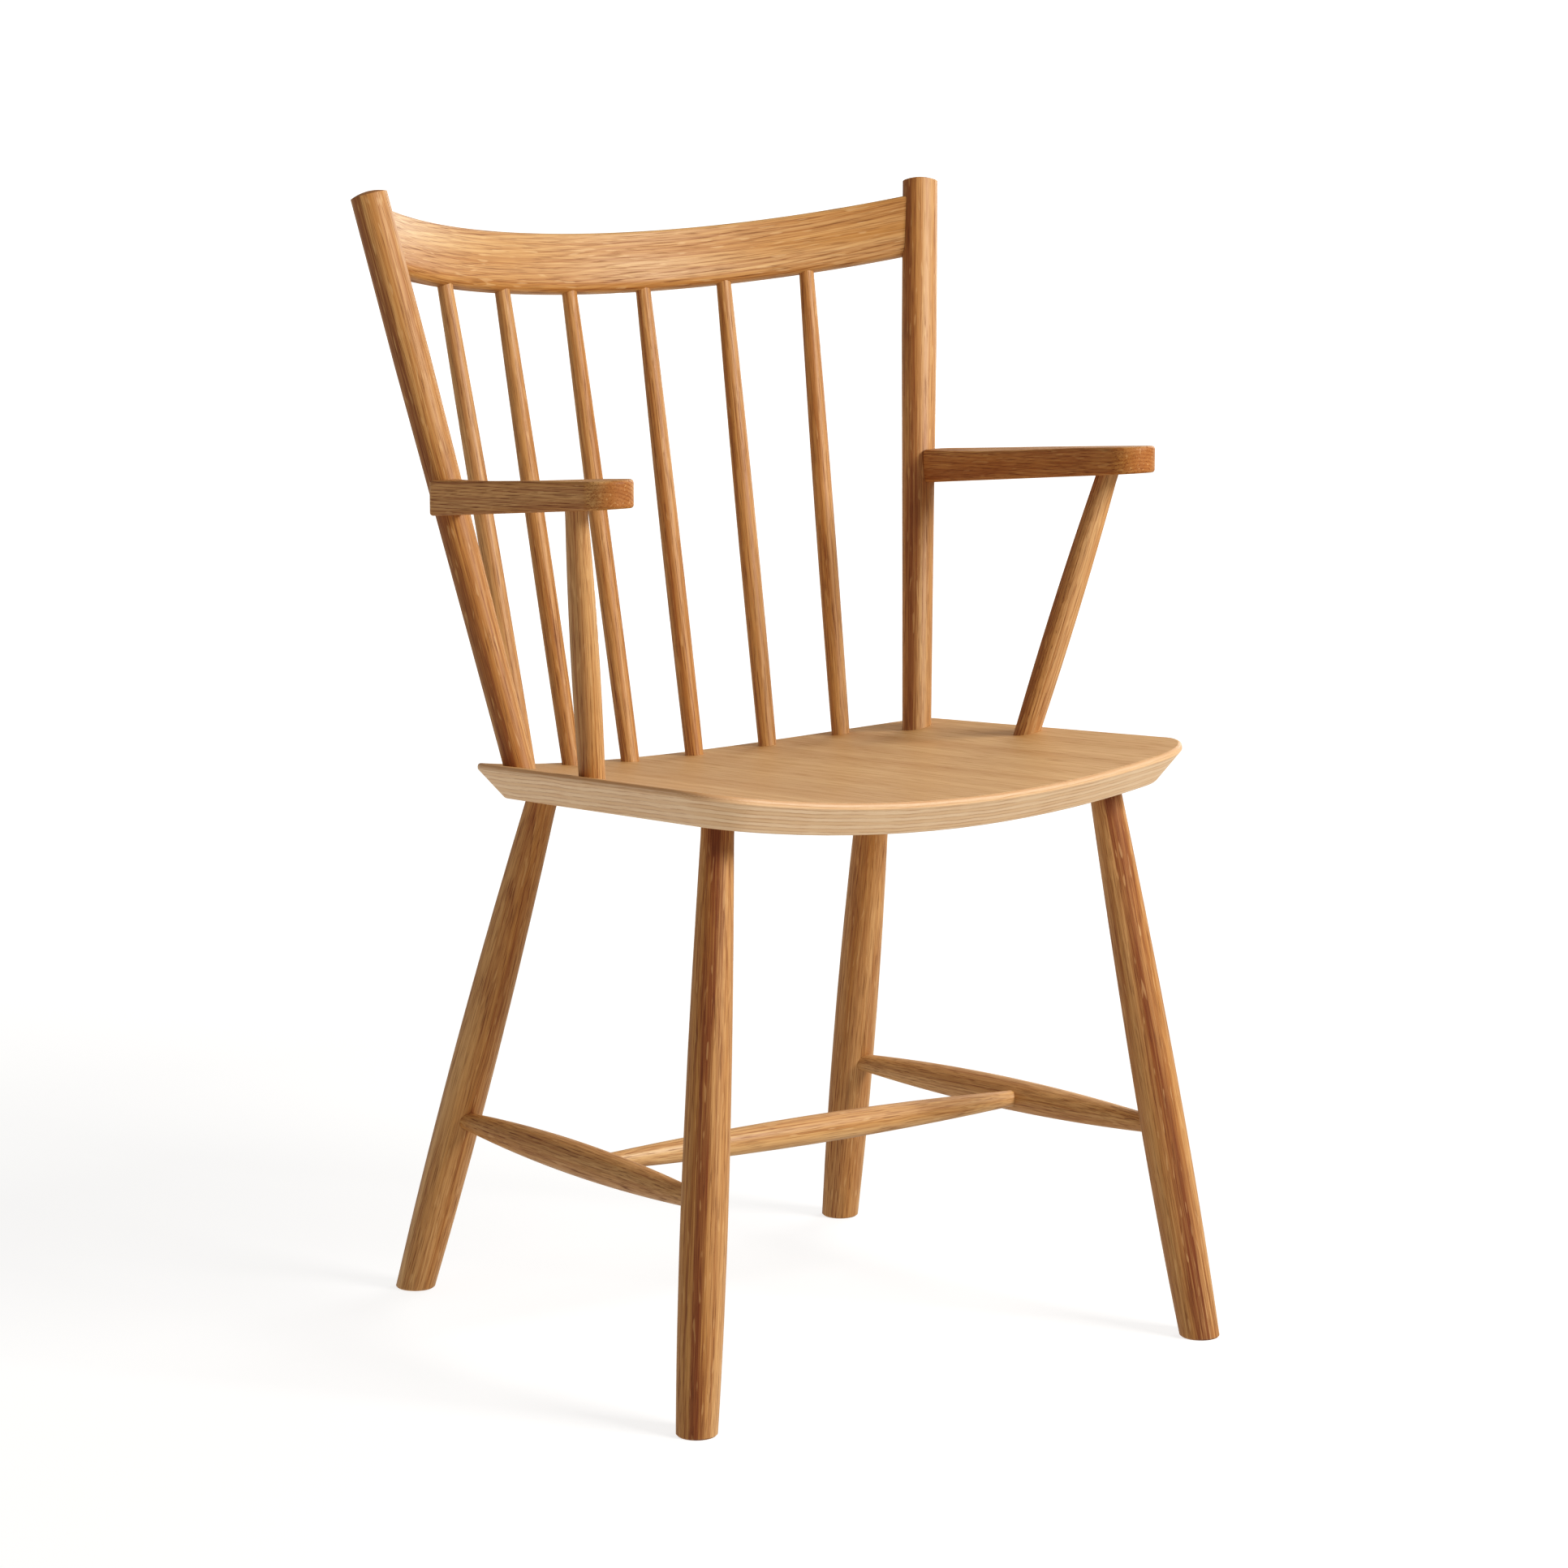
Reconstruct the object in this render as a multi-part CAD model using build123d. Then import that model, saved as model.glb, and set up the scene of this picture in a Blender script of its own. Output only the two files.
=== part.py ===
from build123d import *
from math import asin, cos, degrees, radians, sin, sqrt, tan
import os

# Wooden armchair with turned legs, a spindle back, a curved crest rail and short open arms.
#
# Millimetres. +Z up, the sitter faces -Y, +X is the sitter's left.
# The chair is drawn about the middle of the floor between its feet, then every piece is moved
# together so that the origin lies on the floor under the middle of the whole chair.

os.makedirs("parts", exist_ok=True)

# ---------------------------------------------------------------- driving sizes
glue_gap = 0.1                  # radial room for glue round every round tenon

# Seat: one moulded panel, dished across and tipped down to the back
seat_height = 424.0             # middle of the top face above the floor
seat_thickness = 24.5
seat_tilt = 3.8                 # degrees, front edge high
seat_dish_radius = 1110.0       # hollow across the seat
seat_half_width = 221.0         # at the front corners
seat_rear_half_width = 210.0    # where the sides meet the round back
seat_front_reach = 241.0        # middle of the front edge ahead of the seat middle
seat_front_corner_back = 10.5   # how far the front edge bows forward at the middle
seat_rear_reach = 207.5         # middle of the back edge behind the seat middle
seat_rear_radius = 275.0
seat_front_corner_radius = 43.0
seat_rear_corner_radius = 38.0
seat_bevel = 20.0               # slope worked under the rim
seat_top_round = 2.5
seat_bottom_round = 3.0

# Legs
front_foot_half_width = 227.5
front_foot_reach = 226.5
front_leg_splay = 0.1295        # run inwards for each mm of rise
front_leg_rake = 0.1325
back_foot_half_width = 203.5
back_foot_reach = 226.5
back_leg_splay = 0.1205
back_leg_rake = 0.301
leg_foot_radius = 15.0
leg_belly_radius = 17.0
leg_belly_height = 173.5
leg_neck_radius = 15.2
leg_neck_height = 299.0
leg_tenon_radius = 12.0
leg_tenon_depth = 16.0
foot_chamfer = 1.2

# Stretchers between the legs
side_stretcher_front_height = 162.0
side_stretcher_back_height = 143.0
side_stretcher_end_radius = 7.2
side_stretcher_belly_radius = 12.7
centre_stretcher_place = 0.432  # along the side stretcher from the front leg
centre_stretcher_end_radius = 6.4
centre_stretcher_belly_radius = 11.1
stretcher_tenon_depth = 9.0     # past the surface of the leg or side stretcher
stretcher_fullness = 0.75       # share of the swelling reached halfway to the belly

# Back posts
post_half_width = 183.5         # on the seat surface
post_back = 89.5
post_splay = 0.162              # run outwards for each mm of rise
post_lean = 0.227               # run backwards for each mm of rise
post_top_height = 861.0
post_seat_radius = 11.6
post_mid_radius = 12.5
post_mid_height = 564.0
post_wide_radius = 14.1
post_wide_height = 737.5
post_tenon_depth = 17.0
post_dome = 3.0                 # rise of the rounded top end

# Spindles, from the outer one to the inner one on each side
spindle_half_places = (146.5, 91.5, 30.0)
spindle_backs = (143.0, 166.5, 179.0)
spindle_splays = (0.057, 0.031, 0.012)
spindle_lean = 0.222
spindle_seat_radius = 7.3
spindle_belly_radius = 7.8
spindle_belly_rise = 125.5      # above the seat
spindle_top_radius = 6.0
spindle_seat_depth = 15.0
spindle_crest_depth = 15.0

# Crest rail: a bent slab let in between the posts
crest_apex_back = 264.5         # middle of the slab at the crest reference height
crest_reference_height = 785.5
crest_lean = 18.0               # degrees
crest_radius = 372.0            # middle of the slab
crest_thickness = 19.5
crest_bottom = -10.1            # lower edge below the reference, measured up the slab
crest_height = 47.0
crest_bottom_round = 7.5
crest_top_chamfer = 1.7         # softened top edges, cut once at 45 degrees
crest_top_soften = 0.6          # and once more on the edges which that leaves
crest_tenon_radius = 6.0
crest_tenon_depth = 9.0

# Arms: flat boards rising to the front, coped round the outside of the posts
arm_underside_height = 637.5    # carried to the seat middle
arm_underside_rise = 0.107      # for each mm forwards
arm_front_half_place = 232.5    # middle of the round front end from the chair middle
arm_front_reach = 119.5
arm_front_radius = 19.3
arm_outer_beyond_post = 23.9    # rear end's outer edge, out from the post's middle at arm height
arm_inner_short_of_post = 4.6   # its inner edge, in from the post's middle
arm_rear_short_of_post = 5.8    # the rear end stops this far ahead of the post's middle
arm_rear_cut_width = 9.65       # slanted corner behind the post
arm_rear_outer_round = 13.5
arm_inner_end_step = 6.5        # the inner edge stops this far ahead of the rear end
arm_inner_end_round = 5.0
arm_edge_round = 2.5
arm_thickness_at_front = 20.2
arm_outer_shoulder_thickness = 22.4     # a palm's length back from the front
arm_inner_shoulder_thickness = 21.9
arm_outer_waist_thickness = 25.5        # just ahead of the post
arm_inner_waist_thickness = 22.7
arm_thickness_at_rear = 27.0
arm_shoulder_reach = 58.0
arm_waist_back = 43.5
arm_dowel_radius = 5.0
arm_dowel_in_arm = 7.0
arm_dowel_in_post = 14.5
arm_dowel_angle = 56.5          # degrees forwards of straight out sideways

# Arm supports
support_half_place = 197.5      # on the seat surface
support_front = 39.5
support_splay = 0.196
support_rake = 0.230            # run forwards for each mm of rise
support_seat_radius = 9.8
support_belly_radius = 10.5
support_belly_rise = 87.0
support_top_radius = 8.3
support_seat_depth = 9.5
support_arm_depth = 11.5

blank_margin = 60.0             # spare stock on blanks and cutting shapes
parallel_share = 0.5            # a tenon stays parallel past the surface for this share of its radius
meeting_rounds = 12             # repeats that settle where two sloping things meet
corner_reach = 0.1              # how near a drawn corner has to be to its place to be picked
upward_share = 0.9              # a face counts as top or underside when its normal is this upright


# ---------------------------------------------------------------- where things meet
def seat_top(x, y):
    """Height of the seat's top face above the floor at a place in plan."""
    dish = seat_dish_radius - sqrt(seat_dish_radius**2 - x**2)
    return seat_height + dish - y * tan(radians(seat_tilt))


def on_line(start, slope, height):
    """Point at a height on a line through start with the given run per mm of rise."""
    rise = height - start[2]
    return (start[0] + slope[0] * rise, start[1] + slope[1] * rise, height)


def distance(a, b):
    return sqrt(sum((p - q) ** 2 for p, q in zip(a, b)))


def between(a, b, share):
    return tuple(p + (q - p) * share for p, q in zip(a, b))


def past(a, b, extra):
    """Point beyond b on the line from a to b."""
    return between(a, b, 1 + extra / distance(a, b))


def across(point):
    """The same place on the other side of the chair."""
    return (-point[0], point[1], point[2])


def line_plane(a, b):
    """Plane at a whose normal runs towards b."""
    return Plane(origin=a, z_dir=tuple(q - p for p, q in zip(a, b)))


def seat_meeting(start, slope, drop):
    """Where a line crosses the seat's top face lowered by drop."""
    height = seat_height - drop
    for _ in range(meeting_rounds):
        point = on_line(start, slope, height)
        height = seat_top(point[0], point[1]) - drop
    return on_line(start, slope, height)


def tenon_end(joint, far, surface_radius):
    """Where a stretcher's tenon stops inside the round piece whose middle is at joint."""
    return between(joint, far, (surface_radius - stretcher_tenon_depth) / distance(joint, far))


# ---------------------------------------------------------------- shared shapes
def turned(start, end, stations, dome=0.0):
    """Round piece turned about the line from start to end.

    stations: (distance from start, radius) pairs; the ends outside them are parallel.
    dome: rise of a rounded cap standing beyond end.
    """
    length = distance(start, end)
    first_place, first_radius = stations[0]
    last_place, last_radius = stations[-1]
    with BuildPart() as piece:
        with BuildSketch(Plane.XZ):
            with BuildLine():
                Line((0, 0), (first_radius, 0))
                Line((first_radius, 0), (first_radius, first_place))
                Spline(*[(radius, along) for along, radius in stations])
                Line((last_radius, last_place), (last_radius, length))
                if dome > 0:
                    ball = (last_radius**2 + dome**2) / (2 * dome)
                    half = asin(last_radius / ball) / 2
                    shoulder = (ball * sin(half), length + dome - ball + ball * cos(half))
                    ThreePointArc((last_radius, length), shoulder, (0, length + dome))
                else:
                    Line((last_radius, length), (0, length))
                Line((0, length + dome), (0, 0))
            make_face()
        revolve(axis=Axis.Z)
    return line_plane(start, end) * piece.part


def bellied(start, end, end_radius, belly_radius):
    """Stretcher with a smooth belly in the middle and parallel tenons."""
    length = distance(start, end)
    shoulder = end_radius + (belly_radius - end_radius) * stretcher_fullness
    parallel = stretcher_tenon_depth + end_radius * parallel_share
    taper = length / 2 - parallel
    stations = [
        (parallel, end_radius),
        (parallel + taper / 2, shoulder),
        (length / 2, belly_radius),
        (length - parallel - taper / 2, shoulder),
        (length - parallel, end_radius),
    ]
    return turned(start, end, stations)


def bore(start, end, radius):
    """Plain round from start to end, for dowels and for cutting sockets."""
    tool = Cylinder(radius, distance(start, end), align=(Align.CENTER, Align.CENTER, Align.MIN))
    return line_plane(start, end) * tool


def mirrored(shape):
    return mirror(shape, about=Plane.YZ)


def largest(shape):
    return max(shape.solids(), key=lambda piece: piece.volume)


# ---------------------------------------------------------------- centre lines (sitter's left, +X)
front_foot = (front_foot_half_width, -front_foot_reach, 0.0)
front_leg_slope = (-front_leg_splay, front_leg_rake)
front_leg_top = seat_meeting(front_foot, front_leg_slope, seat_thickness - leg_tenon_depth)
back_foot = (back_foot_half_width, back_foot_reach, 0.0)
back_leg_slope = (-back_leg_splay, -back_leg_rake)
back_leg_top = seat_meeting(back_foot, back_leg_slope, seat_thickness - leg_tenon_depth)

post_base = (post_half_width, post_back, seat_top(post_half_width, post_back))
post_slope = (post_splay, post_lean)
post_top = on_line(post_base, post_slope, post_top_height)
post_root = past(post_top, post_base, post_tenon_depth)
post_at_arm = on_line(post_base, post_slope, arm_underside_height)

arm_rear_outer_place = post_at_arm[0] + arm_outer_beyond_post
arm_rear_inner_place = post_at_arm[0] - arm_inner_short_of_post
arm_rear_back = post_at_arm[1] - arm_rear_short_of_post
arm_inner_end_back = arm_rear_back - arm_inner_end_step


def arm_underside(y):
    return arm_underside_height - arm_underside_rise * y


# The support's line and the arm's sloping underside meet where both give the same height
support_base = (support_half_place, -support_front, seat_top(support_half_place, -support_front))
support_slope = (support_splay, -support_rake)
support_meeting_height = (
    arm_underside(support_base[1]) - arm_underside_rise * support_rake * support_base[2]
) / (1 - arm_underside_rise * support_rake)
support_meeting = on_line(support_base, support_slope, support_meeting_height)
support_top = past(support_base, support_meeting, support_arm_depth)
support_root = past(support_top, support_base, support_seat_depth)

stretcher_front = on_line(front_foot, front_leg_slope, side_stretcher_front_height)
stretcher_back = on_line(back_foot, back_leg_slope, side_stretcher_back_height)
centre_meeting = between(stretcher_front, stretcher_back, centre_stretcher_place)

# Crest slab frame: x across, local y back through the slab, local z up the slab
crest_frame = Plane(
    origin=(0, crest_apex_back, crest_reference_height),
    x_dir=(1, 0, 0),
    z_dir=(0, sin(radians(crest_lean)), cos(radians(crest_lean))),
)


def crest_point(x, up):
    """Point of the chair on the middle of the slab at x across and up the slab."""
    back = sqrt(crest_radius**2 - x**2) - crest_radius
    point = crest_frame.from_local_coords((x, back, up))
    return (point.X, point.Y, point.Z)


def spindle_line(place, back, splay):
    """Where a spindle meets the seat, where it meets the crest, and its top inside the crest."""
    base = (place, back, seat_top(place, back))
    rough_place = place + splay * (crest_reference_height - seat_height)
    head = on_line(base, (splay, spindle_lean), crest_point(rough_place, crest_bottom)[2])
    return base, head, past(base, head, spindle_crest_depth)


spindle_lines = [
    spindle_line(place, back, splay)
    for place, back, splay in zip(spindle_half_places, spindle_backs, spindle_splays)
]


def crest_tenon_line():
    """Centre line of the crest's tenon, along the slab's curve where it meets the post."""
    up = crest_bottom + crest_height / 2
    post_point = post_base
    for _ in range(meeting_rounds):
        post_point = on_line(post_base, post_slope, crest_point(post_point[0], up)[2])
    meet = crest_point(post_point[0], up)
    inboard = crest_point(post_point[0] - 2 * post_wide_radius, up)
    return inboard, past(inboard, meet, crest_tenon_depth - post_wide_radius)


def arm_dowel_line():
    """Centre line of the hidden dowel from the arm into the outer front of the post."""
    height = arm_underside(arm_rear_back) + arm_thickness_at_rear / 2
    centre = on_line(post_base, post_slope, height)
    sideways = cos(radians(arm_dowel_angle))
    forwards = sin(radians(arm_dowel_angle))

    def out(reach):
        return (centre[0] + sideways * reach, centre[1] - forwards * reach, height)

    return out(post_mid_radius + arm_dowel_in_arm), out(post_mid_radius - arm_dowel_in_post)


# ---------------------------------------------------------------- legs and stretchers (sitter's left)
def leg(foot, top, stretcher_joint, stretcher_far):
    """Turned leg cut level at the floor, with the side stretcher's socket."""
    below = past(top, foot, blank_margin / 2)
    run_per_rise = distance(foot, top) / top[2]

    def up(height):
        return blank_margin / 2 + height * run_per_rise

    tenon_start = distance(below, top) - leg_tenon_depth - leg_tenon_radius * parallel_share
    stations = [
        (up(0), leg_foot_radius),
        (up(leg_belly_height), leg_belly_radius),
        (up(leg_neck_height), leg_neck_radius),
        (tenon_start, leg_tenon_radius),
    ]
    floor = Pos(foot[0], foot[1], -blank_margin / 2) * Box(blank_margin * 2, blank_margin * 2, blank_margin)
    blank = turned(below, top, stations) - floor
    sole = blank.faces().sort_by(Axis.Z)[0]
    blank = chamfer(sole.edges(), foot_chamfer)
    socket_floor = tenon_end(stretcher_joint, stretcher_far, leg_belly_radius)
    return blank - bore(socket_floor, stretcher_far, side_stretcher_end_radius + glue_gap)


def side_stretcher():
    """Stretcher from the front leg to the back leg, with the centre stretcher's socket."""
    start = tenon_end(stretcher_front, stretcher_back, leg_belly_radius)
    end = tenon_end(stretcher_back, stretcher_front, leg_belly_radius)
    piece = bellied(start, end, side_stretcher_end_radius, side_stretcher_belly_radius)
    far = across(centre_meeting)
    socket_floor = tenon_end(centre_meeting, far, side_stretcher_belly_radius)
    return piece - bore(socket_floor, far, centre_stretcher_end_radius + glue_gap)


def centre_stretcher():
    far = across(centre_meeting)
    start = tenon_end(centre_meeting, far, side_stretcher_belly_radius)
    return bellied(start, across(start), centre_stretcher_end_radius, centre_stretcher_belly_radius)


# ---------------------------------------------------------------- seat
def seat_blank():
    """Slab dished across, before its outline is cut."""
    half = seat_half_width + blank_margin
    run = seat_front_reach + blank_margin
    lower_radius = seat_dish_radius + seat_thickness
    top_edge = seat_dish_radius - sqrt(seat_dish_radius**2 - half**2)
    lower_edge = seat_dish_radius - sqrt(lower_radius**2 - half**2)
    with BuildPart() as slab:
        with BuildSketch(Plane.XZ):
            with BuildLine():
                ThreePointArc((-half, top_edge), (0, 0), (half, top_edge))
                Line((half, top_edge), (half, lower_edge))
                ThreePointArc((half, lower_edge), (0, -seat_thickness), (-half, lower_edge))
                Line((-half, lower_edge), (-half, top_edge))
            make_face()
        extrude(amount=run, both=True)
    return slab.part


def seat_outline():
    """Plan of the seat: bowed front, straight sides, round back."""
    rear_centre = seat_rear_reach - seat_rear_radius
    rear_run = sqrt(seat_rear_radius**2 - seat_rear_half_width**2)
    rear_left = (seat_rear_half_width, rear_centre + rear_run)
    rear_right = (-rear_left[0], rear_left[1])
    front_left = (seat_half_width, -seat_front_reach + seat_front_corner_back)
    front_right = (-front_left[0], front_left[1])
    with BuildSketch() as plan:
        with BuildLine():
            ThreePointArc(front_right, (0, -seat_front_reach), front_left)
            Line(front_left, rear_left)
            ThreePointArc(rear_left, (0, seat_rear_reach), rear_right)
            Line(rear_right, front_right)
        make_face()
        fillet(plan.vertices().group_by(Axis.Y)[0], seat_front_corner_radius)
        fillet(plan.vertices().group_by(Axis.Y)[-1], seat_rear_corner_radius)
    return plan.sketch


def broad_faces(panel):
    """The seat's two dished faces, the lower one first."""
    return panel.faces().filter_by(GeomType.CYLINDER).sort_by(SortBy.AREA)[-2:].sort_by(Axis.Z)


def seat_sockets():
    tools = [
        bore(front_leg_top, front_foot, leg_tenon_radius + glue_gap),
        bore(back_leg_top, back_foot, leg_tenon_radius + glue_gap),
        bore(post_root, post_top, post_seat_radius + glue_gap),
        bore(support_root, support_top, support_seat_radius + glue_gap),
    ]
    for base, head, _ in spindle_lines:
        root = past(head, base, spindle_seat_depth)
        tools.append(bore(root, head, spindle_seat_radius + glue_gap))
    return tools


def seat_panel():
    """Seat cut to its outline, bevelled under the rim, tipped back and bored for what stands in it."""
    tall = seat_thickness + blank_margin
    prism = extrude(Pos(0, 0, -tall) * seat_outline(), 2 * tall)
    panel = seat_blank() & prism
    panel = chamfer(broad_faces(panel)[0].edges(), seat_bevel)
    panel = fillet(broad_faces(panel)[0].edges(), seat_bottom_round)
    top_face = panel.faces().filter_by(GeomType.CYLINDER).sort_by(SortBy.AREA)[-1]
    panel = fillet(top_face.edges(), seat_top_round)
    panel = Pos(0, 0, seat_height) * Rot(-seat_tilt, 0, 0) * panel
    for tool in seat_sockets():
        panel = panel - tool - mirrored(tool)
    return panel


# ---------------------------------------------------------------- back
def along_post(height):
    """Distance up the post from the seat surface to a height."""
    return distance(post_base, on_line(post_base, post_slope, height))


def post_stations(buried, gap):
    """Radii up the post, oversize by gap, counted from a start that is buried in the seat."""
    return [
        (buried + post_seat_radius * parallel_share, post_seat_radius + gap),
        (buried + along_post(post_mid_height), post_mid_radius + gap),
        (buried + along_post(post_wide_height), post_wide_radius + gap),
    ]


def back_post():
    """Post widening upwards to a domed top, bored for the crest's tenon and the arm's dowel."""
    post = turned(post_root, post_top, post_stations(post_tenon_depth, 0), post_dome)
    inboard, tenon_tip = crest_tenon_line()
    post = post - bore(tenon_tip, inboard, crest_tenon_radius + glue_gap)
    in_arm, in_post = arm_dowel_line()
    return post - bore(in_post, in_arm, arm_dowel_radius + glue_gap)


def post_cutter():
    """The post's own round with room for glue, used to cope what butts against it."""
    return turned(post_base, past(post_base, post_top, blank_margin), post_stations(0, glue_gap))


def spindle(line):
    base, head, top = line
    root = past(top, base, spindle_seat_depth)
    crest_meeting = spindle_seat_depth + distance(base, head)
    stations = [
        (spindle_seat_depth + spindle_seat_radius * parallel_share, spindle_seat_radius),
        (spindle_seat_depth + spindle_belly_rise, spindle_belly_radius),
        (crest_meeting - spindle_top_radius * parallel_share, spindle_top_radius),
    ]
    return turned(root, top, stations)


def crest_rail():
    """Bent slab coped between the posts, with a round tenon at each end and the spindles' sockets."""
    reach = on_line(post_base, post_slope, crest_reference_height)[0] + blank_margin / 2
    half_angle = degrees(asin(reach / crest_radius))
    with BuildPart() as slab:
        with BuildSketch(Plane.YZ) as section:
            with Locations((crest_radius, crest_height / 2)):
                Rectangle(crest_thickness, crest_height)
            fillet(section.vertices().group_by(Axis.Y)[0], crest_bottom_round)
            chamfer(section.vertices().group_by(Axis.Y)[-1], crest_top_chamfer)
            chamfer(section.vertices().group_by(Axis.Y)[-2:], crest_top_soften)
        revolve(axis=Axis.Z, revolution_arc=2 * half_angle)
    bent = Pos(0, -crest_radius, crest_bottom) * Rot(0, 0, -half_angle) * slab.part
    rail = crest_frame * bent
    for cutter in (post_cutter(), mirrored(post_cutter())):
        rail = largest(rail - cutter)
    inboard, tenon_tip = crest_tenon_line()
    tenon = bore(inboard, tenon_tip, crest_tenon_radius)
    rail = rail + tenon + mirrored(tenon)
    for base, head, top in spindle_lines:
        socket = bore(past(base, head, -spindle_crest_depth), top, spindle_top_radius + glue_gap)
        rail = rail - socket - mirrored(socket)
    return rail


# ---------------------------------------------------------------- arms (sitter's left)
def arm_plan():
    """Outline of the arm seen from above."""
    front_inner = (arm_front_half_place - arm_front_radius, -arm_front_reach)
    front_tip = (arm_front_half_place, -arm_front_reach - arm_front_radius)
    front_outer = (arm_front_half_place + arm_front_radius, -arm_front_reach)
    with BuildSketch() as plan:
        with BuildLine():
            ThreePointArc(front_outer, front_tip, front_inner)
            Polyline(
                front_inner,
                (arm_rear_inner_place, arm_inner_end_back),
                (arm_rear_inner_place + arm_rear_cut_width, arm_rear_back),
                (arm_rear_outer_place, arm_rear_back),
                front_outer,
            )
        make_face()
        ends = plan.vertices().filter_by_position(
            Axis.Y, arm_rear_back - corner_reach, arm_rear_back + corner_reach
        )
        fillet(ends.sort_by(Axis.X)[-1], arm_rear_outer_round)
        inner = plan.vertices().filter_by_position(
            Axis.Y, arm_inner_end_back - corner_reach, arm_inner_end_back + corner_reach
        )
        fillet(inner, arm_inner_end_round)
    return plan.sketch


def arm_side(place, shoulder_thickness, waist_thickness):
    """Side view of the arm at a place across it, thick at the post and thin at the front."""
    front = -arm_front_reach - arm_front_radius - arm_edge_round
    back = arm_rear_back + arm_edge_round
    top = [
        (front, arm_underside(front) + arm_thickness_at_front),
        (-arm_shoulder_reach, arm_underside(-arm_shoulder_reach) + shoulder_thickness),
        (arm_waist_back, arm_underside(arm_waist_back) + waist_thickness),
        (back, arm_underside(back) + arm_thickness_at_rear),
    ]
    with BuildSketch(Plane.YZ.offset(place)) as side:
        with BuildLine():
            Polyline(top[0], (front, arm_underside(front)), (back, arm_underside(back)), top[-1])
            Spline(*top)
        make_face()
    return side.sketch


def arm_board():
    """Blank whose top face twists from the inner edge line to the outer one."""
    inner_place = arm_rear_inner_place - arm_edge_round
    outer_place = arm_front_half_place + arm_front_radius + arm_edge_round
    inner = arm_side(inner_place, arm_inner_shoulder_thickness, arm_inner_waist_thickness)
    outer = arm_side(outer_place, arm_outer_shoulder_thickness, arm_outer_waist_thickness)
    return loft([inner, outer], ruled=True)


def arm():
    """Arm board with rounded rims, coped round the post and bored for its dowel and support."""
    prism = extrude(Pos(0, 0, seat_height) * arm_plan(), seat_height)
    board = arm_board() & prism
    broad = [face for face in board.faces() if abs(face.normal_at().Z) > upward_share]
    rims = ShapeList([edge for face in broad for edge in face.edges()])
    board = largest(fillet(rims, arm_edge_round) - post_cutter())
    in_arm, in_post = arm_dowel_line()
    board = board - bore(in_arm, in_post, arm_dowel_radius + glue_gap)
    return board - bore(support_top, support_base, support_top_radius + glue_gap)


def arm_dowel():
    in_arm, in_post = arm_dowel_line()
    return bore(in_arm, in_post, arm_dowel_radius)


def arm_support():
    length = distance(support_root, support_top)
    stations = [
        (support_seat_depth + support_seat_radius * parallel_share, support_seat_radius),
        (support_seat_depth + support_belly_rise, support_belly_radius),
        (length - support_arm_depth - support_top_radius * parallel_share, support_top_radius),
    ]
    return turned(support_root, support_top, stations)


# ---------------------------------------------------------------- assemble and write
def build():
    outer_line, middle_line, inner_line = spindle_lines
    one_side = {
        "front_leg": leg(front_foot, front_leg_top, stretcher_front, stretcher_back),
        "back_leg": leg(back_foot, back_leg_top, stretcher_back, stretcher_front),
        "side_stretcher": side_stretcher(),
        "back_post": back_post(),
        "outer_spindle": spindle(outer_line),
        "middle_spindle": spindle(middle_line),
        "inner_spindle": spindle(inner_line),
        "arm": arm(),
        "arm_dowel": arm_dowel(),
        "arm_support": arm_support(),
    }
    pieces = {
        "seat_panel": seat_panel(),
        "crest_rail": crest_rail(),
        "centre_stretcher": centre_stretcher(),
    }
    for name, shape in one_side.items():
        pieces[name + "_left"] = shape
        pieces[name + "_right"] = mirrored(shape)
    return pieces


def main():
    pieces = build()
    boxes = [shape.bounding_box() for shape in pieces.values()]
    front = min(box.min.Y for box in boxes)
    back = max(box.max.Y for box in boxes)
    to_middle = Pos(0, -(front + back) / 2, 0)
    for name, shape in pieces.items():
        export_step(to_middle * shape, f"parts/{name}.step")


main()
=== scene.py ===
"""Looks, light and camera for the wooden armchair. Metres, in the frame's own axes:
+Z up, the sitter faces -Y, +X is the sitter's left."""

from math import cos, radians, sin

import bmesh
import bpy
import numpy as np
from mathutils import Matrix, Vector


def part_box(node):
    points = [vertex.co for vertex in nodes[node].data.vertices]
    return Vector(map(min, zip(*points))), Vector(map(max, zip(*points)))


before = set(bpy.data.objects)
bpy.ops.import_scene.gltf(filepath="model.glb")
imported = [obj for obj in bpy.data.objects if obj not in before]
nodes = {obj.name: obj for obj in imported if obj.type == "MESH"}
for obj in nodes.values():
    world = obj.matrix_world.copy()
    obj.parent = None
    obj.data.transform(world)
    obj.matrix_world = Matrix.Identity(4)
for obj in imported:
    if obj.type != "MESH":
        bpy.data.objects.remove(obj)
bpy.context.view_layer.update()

# ---------------------------------------------------------------- sizes
camera_place = (-1.9457, -2.9511, 0.9997)
camera_target = (-0.0028, -0.0212, 0.4164)
camera_lens = 107.43            # on a 36 mm square sensor
sensor_width = 36.0
clip_distance = 100.0

light_target = Vector((0, 0, 0.4))
light_reach = 2.6               # from the middle of the chair to each lamp
key_direction = 64.5            # degrees from +X round towards -Y
key_height = 31.0               # degrees above the floor
key_size = 0.9
key_power = 68.0                # watts
key_tint = (1.0, 0.98, 0.95)
rim_direction = -24.0           # a weak wide light from behind, past the sitter's left
rim_height = 24.0
rim_size = 1.6
rim_power = 26.0
fill_tint = (1.0, 0.94, 0.86)   # the fill light is warm, as if thrown back by wood
sky_light = 0.37                # soft light from above and around
floor_light = 0.72              # light back up from the pale floor
horizon_blend = 0.15            # half height of the band where one turns into the other

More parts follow.
